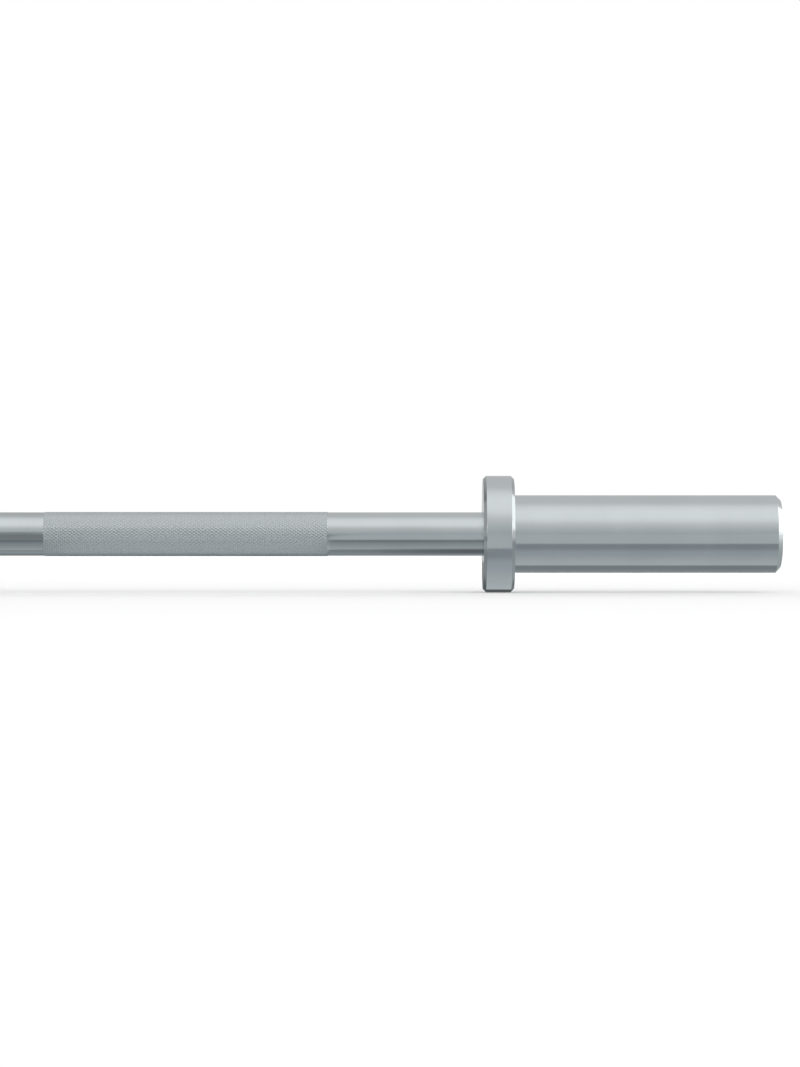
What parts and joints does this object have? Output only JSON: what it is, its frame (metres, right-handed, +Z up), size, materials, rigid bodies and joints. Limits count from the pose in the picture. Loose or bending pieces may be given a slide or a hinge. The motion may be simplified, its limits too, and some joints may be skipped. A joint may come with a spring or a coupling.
{
  "type": "barbell",
  "caption": "Short straight barbell: knurled steel grip shaft with collars and plain plate sleeves that turn freely on it.",
  "frame": {"origin": "middle of the grip shaft, on its axis", "axes": "+X along the bar towards the end that the picture shows, +Z up"},
  "size_m": [1.2, 0.075, 0.075],
  "materials": {
    "knurled_steel": "satin hard chrome over a rolled diamond knurl",
    "satin_steel": "satin hard chrome over fine turning marks",
    "bearing_bronze": "oiled sintered bearing bronze",
    "plated_washer": "ground and zinc plated",
    "spring_steel": "black phosphated spring steel",
    "seal_rubber": "matt moulded rubber"
  },
  "bodies": {
    "shaft": {"shaft": "knurled_steel", "right_shaft_retaining_ring": "spring_steel", "left_shaft_retaining_ring": "spring_steel"},
    "right_sleeve": {"right_collar": "satin_steel", "right_sleeve_tube": "satin_steel", "right_dust_seal": "seal_rubber", "right_inner_bushing": "bearing_bronze", "right_outer_bushing": "bearing_bronze", "right_end_cap": "satin_steel", "right_cap_retaining_ring": "spring_steel"},
    "right_inner_washer": {"right_inner_thrust_washer": "plated_washer"},
    "right_outer_washer": {"right_outer_thrust_washer": "plated_washer"},
    "left_sleeve": {"left_collar": "satin_steel", "left_sleeve_tube": "satin_steel", "left_dust_seal": "seal_rubber", "left_inner_bushing": "bearing_bronze", "left_outer_bushing": "bearing_bronze", "left_end_cap": "satin_steel", "left_cap_retaining_ring": "spring_steel"},
    "left_inner_washer": {"left_inner_thrust_washer": "plated_washer"},
    "left_outer_washer": {"left_outer_thrust_washer": "plated_washer"}
  },
  "joints": [
    {"name": "right_sleeve_spin", "type": "hinge", "parent": "shaft", "child": "right_sleeve", "pos_m": [0.4085, 0, 0], "axis": [1, 0, 0], "continuous": true},
    {"name": "right_inner_washer_float", "type": "hinge", "parent": "shaft", "child": "right_inner_washer", "pos_m": [0.4238, 0, 0], "axis": [1, 0, 0], "continuous": true},
    {"name": "right_outer_washer_float", "type": "hinge", "parent": "shaft", "child": "right_outer_washer", "pos_m": [0.58005, 0, 0], "axis": [1, 0, 0], "continuous": true},
    {"name": "left_sleeve_spin", "type": "hinge", "parent": "shaft", "child": "left_sleeve", "pos_m": [-0.4085, 0, 0], "axis": [1, 0, 0], "continuous": true},
    {"name": "left_inner_washer_float", "type": "hinge", "parent": "shaft", "child": "left_inner_washer", "pos_m": [-0.4238, 0, 0], "axis": [1, 0, 0], "continuous": true},
    {"name": "left_outer_washer_float", "type": "hinge", "parent": "shaft", "child": "left_outer_washer", "pos_m": [-0.58005, 0, 0], "axis": [1, 0, 0], "continuous": true}
  ]
}
